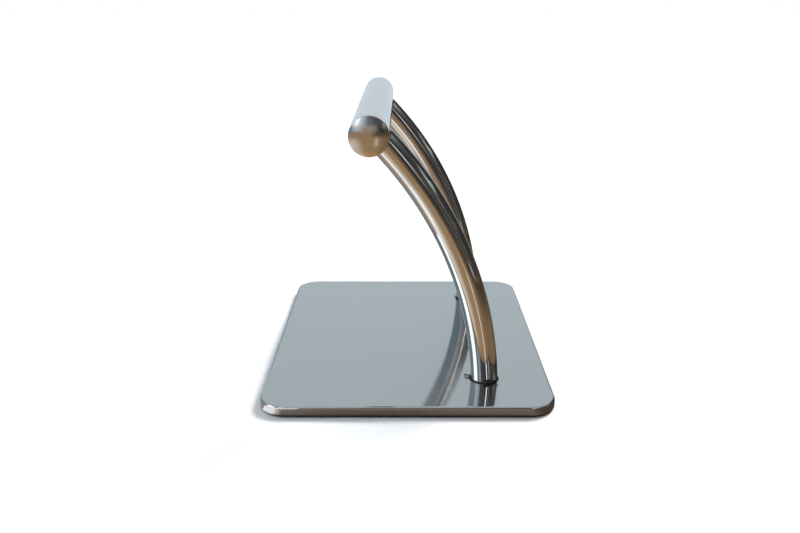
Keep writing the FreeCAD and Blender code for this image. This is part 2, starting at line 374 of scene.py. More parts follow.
def make_bar_weld(name, side, material):
    """Fillet of a ball that rolls in the corner between an arm and the bar."""
    y = side * ARM_Y
    ball = BAR_WELD_R
    unevenness = 0.10 * MM
    waves = 3
    rows = [[] for _ in range(BEND_STEPS + 1)]
    for k in range(AROUND):
        turn = TAU * k / AROUND
        bend = solve(*NEAR_BAR, lambda b: off_bar(arm_point(y, ARM_R + ball, b, turn)) < ball)
        place = Vector((math.cos(turn) * waves, math.sin(turn) * waves, side))
        wobble = unevenness * noise.noise(place)
        centre = arm_point(y, ARM_R + ball, bend, turn)
        on_arm = arm_point(y, ARM_R, bend, turn)
        from_bar = Vector((centre.x - BAR_X, 0, centre.z - BAR_Z)).normalized()
        on_bar = Vector((BAR_X, centre.y, BAR_Z)) + from_bar * BAR_R
        for step in range(BEND_STEPS + 1):
            share = step / BEND_STEPS
            outwards = (on_arm - centre).lerp(on_bar - centre, share).normalized()
            swell = math.sin(math.pi * share) * wobble
            rows[step].append(centre + outwards * (ball - swell))
    tuck = 0.15 * MM
    first = [p + (centre_of_arm(p, y) - p).normalized() * tuck for p in rows[0]]
    last = [p + (Vector((BAR_X, p.y, BAR_Z)) - p).normalized() * tuck for p in rows[-1]]
    verts = [p for row in [first] + rows + [last] for p in row]
    return new_piece(name, verts, strips(BEND_STEPS + 3, AROUND, closed_rows=True), material, sharp=60)


def centre_of_arm(point, y):
    """The nearest point on an arm's centre line."""
    bend = math.atan2(point.z - ARM_BEND_Z, point.x - ARM_X + ARM_BEND_R)
    return arm_point(y, 0, bend, 0)


def make_foot_bar(material):
    """Straight tube with fine chamfered ends."""
    soft = 0.25 * MM
    inner = BAR_R - TUBE_WALL
    profile = [(inner, -BAR_HALF + soft), (inner + soft, -BAR_HALF)]
    profile += [(BAR_R - soft, -BAR_HALF), (BAR_R, -BAR_HALF + soft)]
    profile += [(radius, -along) for radius, along in profile[::-1]]
    profile.append(profile[0])
    return lathe("foot_bar_tube", profile, Vector((BAR_X, 0, BAR_Z)), Vector((0, 1, 0)), material)


def make_end_cap(name, side, material):
    """Low dome with a rounded edge, a short rim and a hollow spigot."""
    steps = 24
    spigot_r = BAR_R - TUBE_WALL - CAP_SPIGOT_GAP
    hollow_r = spigot_r - TUBE_WALL
    dome_r = (BAR_R**2 + CAP_DOME**2) / (2 * CAP_DOME)
    centre = CAP_RIM + CAP_DOME - dome_r
    edge_r = BAR_R - CAP_EDGE_R
    edge_out = centre + math.sqrt((dome_r - CAP_EDGE_R) ** 2 - edge_r**2)
    touch = math.degrees(math.atan2(edge_r, edge_out - centre))
    inner_r = dome_r - TUBE_WALL
    hollow_touch = math.degrees(math.asin(hollow_r / inner_r))
    profile = [(0, centre + dome_r)]
    profile += [(b, a) for a, b in arc(centre, 0, dome_r, 0, touch, steps)][1:]
    profile += [(b, a) for a, b in arc(edge_out, edge_r, CAP_EDGE_R, touch, 90)][1:]
    groove = 0.12 * MM
    profile += [(BAR_R, groove), (BAR_R - groove, 0), (spigot_r, 0), (spigot_r, -CAP_SPIGOT)]
    profile += [(hollow_r, -CAP_SPIGOT)]
    profile += [(b, a) for a, b in arc(centre, 0, inner_r, hollow_touch, 0, steps)][:-1]
    profile.append((0, centre + inner_r))
    origin = Vector((BAR_X, side * BAR_HALF, BAR_Z))
    return lathe(name, profile, origin, Vector((0, side, 0)), material)


def bead_mesh(path, half_width, depth, closed, ripple, seed):
    """Rippled half-round weld bead. Each step of the path is (point, side, out, swell)."""
    verts = []
    length = 0.0
    columns = BEAD_ACROSS + 3

    def wander(ripples, row, layer):
        """Smooth noise along the bead that changes over some ripples."""
        return noise.noise(Vector((length / (ripples * ripple), row, layer)))

    for step, (point, side, out, swell) in enumerate(path):
        if step:
            length += (point - path[step - 1][0]).length
        scallop = abs(math.sin(math.pi * length / ripple)) ** 0.6
        size = swell * (1 - BEAD_SCALLOP + BEAD_SCALLOP * scallop + BEAD_ROUGH * wander(2.2, seed, 0.3))
        lean = BEAD_LEAN * wander(3.1, 2.7, seed)
        for k in range(BEAD_ACROSS + 1):
            turn = math.pi * k / BEAD_ACROSS
            grit = 1 + BEAD_GRIT * wander(0.4, 3 * turn, seed)
            across = half_width * size * grit * (math.cos(turn) + lean * math.sin(turn))
            up = depth * size * grit * math.sin(turn)
            verts.append(point + side * across + out * up)
        sunk = out * (depth * BEAD_SUNK)
        foot = side * half_width * size * BEAD_FOOT
        verts += [point - foot - sunk, point + foot - sunk]
    rows = len(path)
    faces = strips(rows, columns, closed_rows=closed)
    if not closed:
        faces.append(tuple(range(columns))[::-1])
        faces.append(tuple(range((rows - 1) * columns, rows * columns)))
    return verts, faces


def ring_path(centre, radius, side_way, out_way, lift, swell):
    """A ring of bead steps around an upright axis: ways are (outwards, up), lift moves it along out."""
    path = []
    for k in range(BEAD_STEPS):
        turn = TAU * k / BEAD_STEPS
        outwards = Vector((math.cos(turn), math.sin(turn), 0))
        upright = Vector((0, 0, 1))
        side = outwards * side_way[0] + upright * side_way[1]
        out = outwards * out_way[0] + upright * out_way[1]
        size = swell(turn)
        path.append((centre + outwards * radius + out * lift * size, side, out, size))
    return path


def near_turn(turn, place, width):
    """1 at an angle around a tube, falling to 0 a width away from it."""
    apart = abs((turn - math.radians(place) + math.pi) % TAU - math.pi)
    return max(0.0, 1 - (apart / math.radians(width)) ** 2)


def droplet(centre, size, seed):
    """A small lump of spatter, half sunk in what it landed on."""
    rings, around = 6, 12
    lowest, highest = -20, 90
    lumpiness = 0.35
    verts = []
    for ring in range(rings + 1):
        tilt = math.radians(lowest + (highest - lowest) * ring / rings)
        for k in range(around):
            turn = TAU * k / around
            way = Vector((math.cos(turn) * math.cos(tilt), math.sin(turn) * math.cos(tilt), math.sin(tilt)))
            lump = 1 + lumpiness * noise.noise(way * 1.3 + Vector((seed, 0, 0)))
            verts.append(centre + way * size * lump)
    faces = strips(rings + 1, around)
    faces.append(tuple(range(around))[::-1])
    faces.append(tuple(range(rings * around, (rings + 1) * around)))
    return verts, faces


def add_mesh(verts, faces, more):
    """Appends one mesh's points and faces to another's."""
    first = len(verts)
    verts += more[0]
    faces += [tuple(index + first for index in face) for face in more[1]]


def make_collar_weld(name, side, material):
    """Hand-laid bead around an arm on the cover, with the spatter that landed beside it."""
    centre = Vector((arm_centre_x(BASE_TOP), side * ARM_Y, BASE_TOP))
    style = COLLARS[side]

    def swell(turn):
        size = style["size"]
        for place, width, more in style["blobs"]:
            size += more * near_turn(turn, place, width)
        return size

    corner = math.sqrt(0.5)
    lift = COLLAR_LIFT * COLLAR_HALF_WIDTH
    path = ring_path(centre, ARM_R, (corner, -corner), (corner, corner), lift, swell)
    verts, faces = bead_mesh(path, COLLAR_HALF_WIDTH, COLLAR_DEPTH, True, COLLAR_RIPPLE, side * 5.0)
    draw = random.Random(style["seed"])
    for place, spread, reach, count in style["spatter"]:
        for _ in range(count):
            turn = math.radians(draw.gauss(place, spread))
            off = ARM_R + draw.uniform(*reach) * MM
            size = draw.uniform(0.25, 0.8) * MM
            spot = centre + Vector((math.cos(turn) * off, math.sin(turn) * off, 0))
            add_mesh(verts, faces, droplet(spot, size, draw.uniform(0, 50)))
    return new_piece(name, verts, faces, material, sharp=60)


def make_root_weld(name, side, material):
    """Bead around an arm's lower end, under the weight plate."""
    centre = Vector((arm_centre_x(BALLAST_BOTTOM), side * ARM_Y, BALLAST_BOTTOM))
    path = ring_path(centre, ARM_R, (1, 0), (0, -1), 0, lambda turn: ROOT_SIZE)
    verts, faces = bead_mesh(path, ROOT_HALF_WIDTH, ROOT_DEPTH, True, ROOT_RIPPLE, 11.0 + side)
    return new_piece(name, verts, [face[::-1] for face in faces], material, sharp=60)


def make_tack_welds(material):
    """Ten short beads in the seam between the weight plate and the rim."""
    runs = []
    for side in SIDES.values():
        places = [((side * ballast_high.x, y), (0, 1, 0), (-side, 0, 0)) for y in TACKS_ALONG_Y]
        places += [((x, side * ballast_high.y), (1, 0, 0), (0, -side, 0)) for x in TACKS_ALONG_X]
        runs += [(Vector((x, y, BALLAST_BOTTOM)), Vector(along), Vector(inwards))
                 for (x, y), along, inwards in places]
    verts, faces = [], []
    for number, (middle, along, inwards) in enumerate(runs):
        path = []
        for step in range(TACK_STEPS + 1):
            share = 2 * step / TACK_STEPS - 1
            swell = TACK_SIZE * max(0.12, 1 - share**4) ** 0.5
            point = middle + along * share * TACK_LENGTH / 2 + inwards * TACK_SHIFT
            path.append((point, inwards, Vector((0, 0, -1)), swell))
        more = bead_mesh(path, TACK_R, TACK_R, False, ROOT_RIPPLE, 20.0 + number)
        add_mesh(verts, faces, more)
    return new_piece("cover_tack_beads", verts, faces, material, sharp=60, outwards=True)


def make_foot(name, node, material):
    """Tapered rubber pad: counterbore, screw hole, rounded lower edge and three grip grooves."""
    low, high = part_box(node)
    origin = Vector(((low.x + high.x) / 2, (low.y + high.y) / 2, 0))
    top = high.z
    seat = top - FOOT_SEAT_T
    soft = 0.3 * MM
    groove_half = 0.45 * MM
    groove_deep = 0.35 * MM
    profile = [(FOOT_HOLE_R, top), (FOOT_HOLE_R, seat), (FOOT_RECESS_R, seat), (FOOT_RECESS_R, soft)]
    profile += [(FOOT_RECESS_R + soft + a, soft + b) for a, b in arc(0, 0, soft, 180, 270, 4)][1:]
    edge = FOOT_BOTTOM_R - FOOT_EDGE_R
    land = edge - FOOT_RECESS_R - soft
    grooves = 3
    for number in range(grooves):
        middle = FOOT_RECESS_R + soft + land * (number + 0.6) / grooves
        profile += [(middle - groove_half, 0), (middle - groove_half / 2, groove_deep)]
        profile += [(middle + groove_half / 2, groove_deep), (middle + groove_half, 0)]
    profile += [(edge + a, FOOT_EDGE_R + b) for a, b in arc(0, 0, FOOT_EDGE_R, 270, 355, 6)]
    profile += [(FOOT_TOP_R, top), (FOOT_HOLE_R, top)]
    up = Vector((0, 0, 1))
    return lathe(name, profile, origin, up, material, 96, sharp=35, outwards=True)


# ---------------------- materials

class Nodes:
    """Writes a node tree. A value is a number, a colour, a vector or another node's output."""

    def __init__(self, tree):
        self.tree = tree

    def feed(self, slot, value):
        if isinstance(value, (int, float)):
            slot.default_value = value
        elif isinstance(value, tuple):
            slot.default_value = (*value, 1) if slot.type == "RGBA" else value
        else:
            self.tree.links.new(value, slot)

    def node(self, kind, *values, **settings):
        """A node with its settings, and values for its sockets in order."""
        node = self.tree.nodes.new("ShaderNode" + kind)
        for name, setting in settings.items():
            setattr(node, name, setting)
        for slot, value in zip(node.inputs, values):
            self.feed(slot, value)
        return node

    def math(self, operation, *values):
        return self.node("Math", *values, operation=operation).outputs[0]

    def minus(self, value, other):
        return self.math("SUBTRACT", value, other)

    def chain(self, operation, result, *more):
        for value in more:
            result = self.math(operation, result, value)
        return result

    def add(self, *values):
        return self.chain("ADD", *values)

    def times(self, *values):
        return self.chain("MULTIPLY", *values)

    def length(self, a, b):
        """Length of a vector's two parts."""
        return self.math("SQRT", self.add(self.math("POWER", a, 2), self.math("POWER", b, 2)))

    def ramp(self, value, low, high, start=0.0, end=1.0):
        """Start at low, end at high, smooth between."""
        values = (value, low, high, start, end)
        return self.node("MapRange", *values, interpolation_type="SMOOTHSTEP").outputs["Result"]

    def band(self, value, low, high, soft):
        """1 between low and high, 0 outside."""
        rise = self.ramp(value, low - soft, low + soft)
        fall = self.ramp(value, high + soft, high - soft)
        return self.times(rise, fall)

    def mix(self, share, under, over):
        node = self.node("Mix", data_type="RGBA")
        for name, value in (("Factor", share), ("A", under), ("B", over)):
            self.feed(node.inputs[name], value)
        return node.outputs["Result"]

    def join(self, x, y, z):
        return self.node("CombineXYZ", x, y, z).outputs[0]

    def apart(self, vector):
        return self.node("SeparateXYZ", vector).outputs

    def stretch(self, vector, factors):
        return self.node("VectorMath", vector, factors, operation="MULTIPLY").outputs[0]

    def noise(self, vector, scale, detail=2.0, rough=0.5, swirl=0.0):
        node = self.node("TexNoise", vector)
        node.inputs["Scale"].default_value = scale
        node.inputs["Detail"].default_value = detail
        node.inputs["Roughness"].default_value = rough
        node.inputs["Distortion"].default_value = swirl
        return node.outputs["Fac"]


TINT = 0.2                   # strength of the heat tint beside the collars


class Finish(Nodes):
    """A Principled material drawn in the object's own coordinates, in metres."""

    def __init__(self, name, metallic, coat=0.0, coat_roughness=0.03):
        self.material = bpy.data.materials.new(name)
        self.material.use_nodes = True
        super().__init__(self.material.node_tree)
        self.shader = self.tree.nodes["Principled BSDF"]
        self.shader.inputs["Metallic"].default_value = metallic
        self.shader.inputs["Coat Weight"].default_value = coat
        self.shader.inputs["Coat Roughness"].default_value = coat_roughness
        self.place = self.node("TexCoord").outputs["Object"]
        self.x, self.y, self.z = self.apart(self.place)
        self.normal = None

    def bump(self, height, depth):
        """Adds relief, depth metres high, on top of any relief added before."""
        node = self.node("Bump")
        node.inputs["Strength"].default_value = 1
        node.inputs["Distance"].default_value = depth
        self.feed(node.inputs["Height"], height)
        if self.normal is not None:
            self.feed(node.inputs["Normal"], self.normal)
        self.normal = node.outputs[0]

    def done(self, colour, roughness):
        self.feed(self.shader.inputs["Base Color"], colour)
        self.feed(self.shader.inputs["Roughness"], roughness)
        if self.normal is not None:
            self.feed(self.shader.inputs["Normal"], self.normal)
        return self.material

    def glow(self, colour, strength, roughness):
        """Makes it a black surface that shines by itself."""
        self.feed(self.shader.inputs["Emission Color"], colour)
        self.shader.inputs["Emission Strength"].default_value = strength
        self.done((0.0, 0.0, 0.0), roughness)

    def beside_arm(self):
        """Position across an arm's section and along its bend, the same on both arms."""
        over = self.minus(self.x, ARM_X - ARM_BEND_R)
        up = self.minus(self.z, ARM_BEND_Z)
        in_plane = self.minus(self.length(over, up), ARM_BEND_R)
        sideways = self.minus(self.math("ABSOLUTE", self.y), ARM_Y)
        along = self.times(self.math("ARCTAN2", up, over), ARM_BEND_R)
        return self.join(in_plane, sideways, along)

    def off_arm(self, centre_x):
        """Distance out from an arm's surface, measured level."""
        over = self.minus(self.x, centre_x)
        sideways = self.minus(self.math("ABSOLUTE", self.y), ARM_Y)
        return self.minus(self.length(over, sideways), ARM_R)

    def off_axis(self):
        """Distances from the bar's axis along X and Z."""
        return self.minus(self.x, BAR_X), self.minus(self.z, BAR_Z)

    def along_bar(self):
        """Position across the bar's section and along it."""
        return self.join(*self.off_axis(), self.y)

    def tint(self, colour, distance, strength):
        """Oxide colours of a heated zone: blue next to the weld, then bronze, then straw."""
        share = self.ramp(distance, 7.5 * MM, 4 * MM, 0.0, strength)
        colour = self.mix(share, colour, (0.62, 0.52, 0.36))
        share = self.ramp(distance, 4.5 * MM, 2.6 * MM, 0.0, strength)
        colour = self.mix(share, colour, (0.42, 0.28, 0.24))
        share = self.ramp(distance, 3 * MM, 1.4 * MM, 0.0, strength)
        return self.mix(share, colour, (0.22, 0.26, 0.40))


def polished_tube(name, grain_of, heat=False):
    """Mirror-polished tube: belt lines along it, faint waves, hairlines and wiped patches."""
    finish = Finish(name, 1.0)
    grain = grain_of(finish)
    lines = finish.noise(finish.stretch(grain, (1, 1, 0.02)), 1100, 4, 0.6)
    waves = finish.noise(finish.stretch(grain, (1, 1, 0.22)), 70, 1)
    patches = finish.noise(finish.stretch(grain, (1, 1, 0.5)), 45, 3, 0.55, 0.4)
    hairs = finish.noise(finish.stretch(grain, (1, 0.8, 0.035)), 520, 1, 0.4, 1.5)
    scratch = finish.ramp(hairs, 0.70, 0.78)
    finish.bump(waves, 0.030 * MM)
    finish.bump(lines, 0.0045 * MM)
    finish.bump(scratch, -0.004 * MM)
    colour = finish.mix(finish.ramp(patches, 0.35, 0.7), (0.665, 0.65, 0.63), (0.60, 0.585, 0.56))
    colour = finish.mix(finish.ramp(lines, 0.35, 0.7, 0.0, 0.25), colour, (0.50, 0.485, 0.47))
    if heat:
        above = finish.minus(finish.z, BASE_TOP + 0.8 * MM)
        wander = finish.times(finish.noise(finish.place, 260, 2), 3 * MM)
        colour = finish.tint(colour, finish.add(above, wander), TINT)
    return finish.done(colour, finish.add(
        finish.ramp(patches, 0.3, 0.75, 0.035, 0.085),
        finish.ramp(lines, 0.45, 0.8, 0.0, 0.06),
        finish.times(scratch, 0.12),
    ))


def satin_base():
    """Bright-rolled sheet: fine grain along the bar, wipe marks, slow dents, duller rim, painted shade at
    the hem.
    """
    finish = Finish("satin_stainless_sheet", 1.0, 1.0, 0.36)
    grain = finish.noise(finish.stretch(finish.place, (1, 0.025, 1)), 800, 4, 0.6)
    smears = finish.noise(finish.stretch(finish.place, (1, 0.35, 1)), 16, 4, 0.55, 0.8)
    clouds = finish.noise(finish.place, 7, 2)
    dents = finish.noise(finish.stretch(finish.place, (1, 0.6, 1)), 11, 1)
    hairs = finish.noise(finish.stretch(finish.place, (1, 0.04, 1)), 260, 1, 0.4, 2.5)
    cross = finish.noise(finish.stretch(finish.place, (0.05, 1, 1)), 200, 1, 0.4, 3.0)
    scratch = finish.math("MAXIMUM", finish.ramp(hairs, 0.72, 0.78), finish.ramp(cross, 0.76, 0.80))
    finish.bump(dents, 0.11 * MM)
    finish.bump(grain, 0.0035 * MM)
    finish.bump(scratch, -0.003 * MM)
    colour = finish.mix(finish.ramp(clouds, 0.38, 0.62), (0.500, 0.532, 0.533), (0.500, 0.517, 0.527))
    colour = finish.mix(finish.ramp(smears, 0.5, 0.8, 0.0, 0.35), colour, (0.565, 0.58, 0.585))
    wander = finish.times(finish.noise(finish.place, 220, 2), 4 * MM)
    colour = finish.tint(colour, finish.add(finish.off_arm(arm_centre_x(BASE_TOP)), wander), TINT)
    rim = finish.ramp(finish.z, BASE_TOP - 0.8 * TOP_EDGE_R, BASE_TOP - TOP_EDGE_R - 0.4 * MM)
    # painted shade: the sheet turns darker towards the hem at the bottom of the rim
    hem = finish.ramp(finish.z, RIM_BOTTOM + 1.8 * HEM_EDGE_R, RIM_BOTTOM + 0.3 * HEM_EDGE_R)
    colour = finish.mix(hem, colour, (0.25, 0.23, 0.22))
    return finish.done(colour, finish.add(
        finish.ramp(smears, 0.3, 0.8, 0.04, 0.085),
        finish.ramp(grain, 0.4, 0.8, 0.0, 0.04),
        finish.times(scratch, 0.15),
        finish.times(rim, 0.08),
    ))


def spun_cap():
    """Pressed cap brushed in rings, a little dull, with specks of polish left at its edge."""
    finish = Finish("spun_stainless_cap", 1.0)
    over, up = finish.off_axis()
    radius = finish.length(over, up)
    safe = finish.math("MAXIMUM", radius, 0.1 * MM)
    ring = 1.2 * MM
    round_x = finish.times(finish.math("DIVIDE", over, safe), ring)
    round_z = finish.times(finish.math("DIVIDE", up, safe), ring)
    rings = finish.noise(finish.join(radius, round_x, round_z), 1500, 4, 0.6)
    patches = finish.noise(finish.place, 130, 3, 0.6, 0.5)
    specks = finish.ramp(finish.noise(finish.place, 900, 2), 0.66, 0.74)
    finish.bump(finish.noise(finish.place, 90, 1), 0.035 * MM)
    finish.bump(rings, 0.006 * MM)
    colour = finish.mix(finish.ramp(patches, 0.35, 0.7), (0.61, 0.595, 0.58), (0.535, 0.52, 0.505))
    colour = finish.mix(finish.times(specks, 0.5), colour, (0.22, 0.20, 0.19))
    return finish.done(colour, finish.add(
        finish.ramp(patches, 0.3, 0.7, 0.11, 0.19),
        finish.ramp(rings, 0.4, 0.8, 0.0, 0.10),
    ))


def burnt_weld():
    """Bead that was never cleaned: blue-black oxide, bronze edges and bright flecks of slag."""
    finish = Finish("burnt_weld_bead", 0.9)
    wide = finish.noise(finish.place, 320, 3, 0.6)
    fine = finish.noise(finish.place, 1400, 4, 0.65)
    colour = finish.mix(finish.ramp(wide, 0.38, 0.62), (0.011, 0.013, 0.021), (0.050, 0.043, 0.044))
    colour = finish.mix(finish.ramp(fine, 0.61, 0.71), colour, (0.58, 0.60, 0.65))
    finish.bump(fine, 0.09 * MM)
    finish.bump(wide, 0.15 * MM)
    return finish.done(colour, finish.ramp(fine, 0.3, 0.7, 0.5, 0.22))


def raw_weld():
    """Mild steel bead as welded: grey-brown scale with blue and straw bands."""
    finish = Finish("raw_weld_bead", 0.8)
    wide = finish.noise(finish.place, 240, 3, 0.6)
    fine = finish.noise(finish.place, 1200, 4, 0.65)
    colour = finish.mix(finish.ramp(wide, 0.35, 0.65), (0.16, 0.15, 0.155), (0.20, 0.135, 0.09))
    colour = finish.mix(finish.ramp(fine, 0.62, 0.75), colour, (0.36, 0.36, 0.37))
    finish.bump(fine, 0.06 * MM)
    return finish.done(colour, finish.ramp(fine, 0.3, 0.7, 0.58, 0.36))


def scaled_plate():
    """Hot-rolled weight plate: dark mill scale with rust in its pits."""
    finish = Finish("mill_scale_plate", 0.55)
    wide = finish.noise(finish.place, 35, 5, 0.6, 0.6)
    pits = finish.noise(finish.place, 620, 4, 0.6)
    colour = finish.mix(finish.ramp(wide, 0.35, 0.65), (0.050, 0.053, 0.062), (0.085, 0.084, 0.088))
    rust = finish.times(finish.ramp(wide, 0.52, 0.68), finish.ramp(pits, 0.50, 0.66))
    colour = finish.mix(rust, colour, (0.19, 0.085, 0.04))
    finish.bump(pits, 0.05 * MM)
    return finish.done(colour, finish.ramp(pits, 0.3, 0.7, 0.62, 0.42))


def moulded_rubber():
    """Black moulded rubber: fine matte skin, faint flow marks, dust on its raised edges."""
    finish = Finish("moulded_black_rubber", 0.0)
    skin = finish.noise(finish.place, 2200, 3, 0.6)
    flow = finish.noise(finish.stretch(finish.place, (1, 1, 2.5)), 190, 3, 0.5, 1.2)
    colour = finish.mix(finish.ramp(flow, 0.35, 0.7), (0.018, 0.018, 0.020), (0.030, 0.030, 0.031))
    dust = finish.times(finish.ramp(skin, 0.55, 0.75), finish.ramp(flow, 0.45, 0.7))
    colour = finish.mix(finish.times(dust, 0.6), colour, (0.13, 0.12, 0.11))
    finish.bump(flow, 0.05 * MM)
    finish.bump(skin, 0.03 * MM)
    return finish.done(colour, finish.ramp(skin, 0.3, 0.7, 0.55, 0.78))


def zinc_plating():
    """Bright zinc: pale grey with a straw and blue cast and small dull spots."""
    finish = Finish("zinc_plated_steel", 1.0)
    cast = finish.noise(finish.place, 300, 2)
    spots = finish.noise(finish.place, 1500, 3, 0.6)
    colour = finish.mix(finish.ramp(cast, 0.35, 0.65), (0.62, 0.64, 0.68), (0.66, 0.62, 0.50))
    colour = finish.mix(finish.ramp(spots, 0.60, 0.75, 0.0, 0.6), colour, (0.40, 0.40, 0.40))
    finish.bump(spots, 0.012 * MM)
    return finish.done(colour, finish.ramp(spots, 0.3, 0.7, 0.24, 0.42))


# ---------------------- build

def stand_in(piece, node):
    """Hides the node, so that the piece is shown in its place. The piece is not used here."""
    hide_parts(node)


def repaint(node, material):
    """Gives a CAD node that stays in view its material."""
    for part in [o for o in bpy.context.scene.objects if o.name == node]:
        for slot in part.material_slots:
            slot.material = material


arm_steel = polished_tube("polished_stainless_arms", Finish.beside_arm, heat=True)
bar_steel = polished_tube("polished_stainless_bar", Finish.along_bar)
sheet_steel = satin_base()
cap_steel = spun_cap()
collar_oxide = burnt_weld()
weld_scale = raw_weld()
rubber = moulded_rubber()
zinc = zinc_plating()

stand_in(make_base_cover(sheet_steel), "base_cover")
stand_in(make_foot_bar(bar_steel), "foot_bar")
stand_in(make_tack_welds(weld_scale), "cover_tack_welds")
for word, sign in SIDES.items():
    stand_in(make_arm(word + "_arm_tube", sign, arm_steel), word + "_arm")
    stand_in(make_bar_weld(word + "_bar_fillet", sign, arm_steel), word + "_bar_weld")
    stand_in(make_end_cap(word + "_cap_dome", sign, cap_steel), word + "_end_cap")
    stand_in(make_collar_weld(word + "_collar_bead", sign, collar_oxide), word + "_collar_weld")
    stand_in(make_root_weld(word + "_root_bead", sign, weld_scale), word + "_root_weld")
for word in FEET:
    stand_in(make_foot(word + "_pad", word + "_foot", rubber), word + "_foot")
repaint("ballast_plate", scaled_plate())
repaint("foot_washers", zinc)
repaint("foot_screws", zinc)

# ---------------------- studio

FOCAL = 1.08875              # focal length in picture widths
SENSOR = 36.0
CAMERA_PLACE = (-0.0061, -0.9814, 0.4015)
CAMERA_PITCH = 0.302         # radians below level
CAMERA_YAW = 0.002           # radians to the left
SQUARE = ((0, 0), (1, 0), (1, 1), (0, 1))  # corners, as low (0) or high (1) ends of two spans
FLOOR_SPAN = (-20, 20)       # along X and along Y
SHADE_REACH = 50 * MM        # how far the base's shade lies on the floor
LEDGE_GAP = 20 * MM          # from the base to the ledge beside its front
COVE_TURN = 72               # degrees that the cove covers, from the front
COVE_NEAR_TURN = 30          # it comes close to the base only beyond this angle
COVE_NEAR = 29               # in mm from the corner's centre
COVE_LINE = ((100, 0.2), (112, 6), (118, 55))  # reach and height in mm of its section
SCREEN_Y = -0.75
SCREEN_X = (-0.62, 0.46)
SCREEN_Z = (0.33, 1.0)
SUN_WAY = (-0.75, -0.80, -1)
SUN_STRENGTH = 4.4
SUN_WIDTH = 30               # degrees


def make_camera():
    data = bpy.data.cameras.new("camera")
    data.sensor_width = SENSOR
    data.lens = FOCAL * SENSOR
    data.clip_start = 0.05
    camera = add_object("camera", data)
    camera.location = CAMERA_PLACE
    camera.rotation_euler = (math.pi / 2 - CAMERA_PITCH, 0, CAMERA_YAW)
    bpy.context.scene.camera = camera


def make_floor():
    """Plain pale floor. The steel mirrors the room below instead of it."""
    finish = Finish("pale_floor", 0.0)
    corners = [(FLOOR_SPAN[a], FLOOR_SPAN[b], 0) for a, b in SQUARE]
    floor = add_surface("floor", corners, [(0, 1, 2, 3)], finish.done((0.88, 0.88, 0.88), 0.9))
    floor.visible_glossy = False


class Room(Nodes):
    """The room's light by direction: azimuth 0 is towards -Y and grows towards +X, in degrees."""

    def __init__(self):
        world = bpy.data.worlds.new("studio")
        bpy.context.scene.world = world
        world.use_nodes = True
        super().__init__(world.node_tree)
        self.tree.nodes.clear()
        self.way = self.node("TexCoord").outputs["Generated"]
        x, y, z = self.apart(self.way)
        degree = math.pi / 180
        self.azimuth = self.math("DIVIDE", self.math("ARCTAN2", x, self.times(y, -1)), degree)
        self.elevation = self.math("DIVIDE", self.math("ARCSINE", z), degree)
        self.colour = (0.045, 0.045, 0.044)

    def span(self, value, low, high, soft=None):
        """A ramp, or a band with soft edges."""
        return self.ramp(value, low, high) if soft is None else self.band(value, low, high, soft)

    def across(self, *limits):
        return self.span(self.azimuth, *limits)

    def above(self, *limits):
        return self.span(self.elevation, *limits)

    def streaks(self, tall, *grain):
        """Noise drawn out upwards."""
        return self.noise(self.join(self.azimuth, self.times(self.elevation, tall), 0), *grain)

    def cover(self, share, colour, *more):
        """Lays a colour over the room where all the shares are 1."""
        self.colour = self.mix(self.times(share, *more), self.colour, colour)

    def panel(self, azimuths, elevations, soft, colour):
        self.cover(self.across(*azimuths, soft), colour, self.above(*elevations, soft))

    def finish(self):
        room = self.node("Background", self.colour).outputs[0]
        white = self.node("Background", (1, 1, 1)).outputs[0]
        seen = self.node("LightPath").outputs["Is Camera Ray"]
        self.node("OutputWorld", self.node("MixShader", seen, room, white).outputs[0])


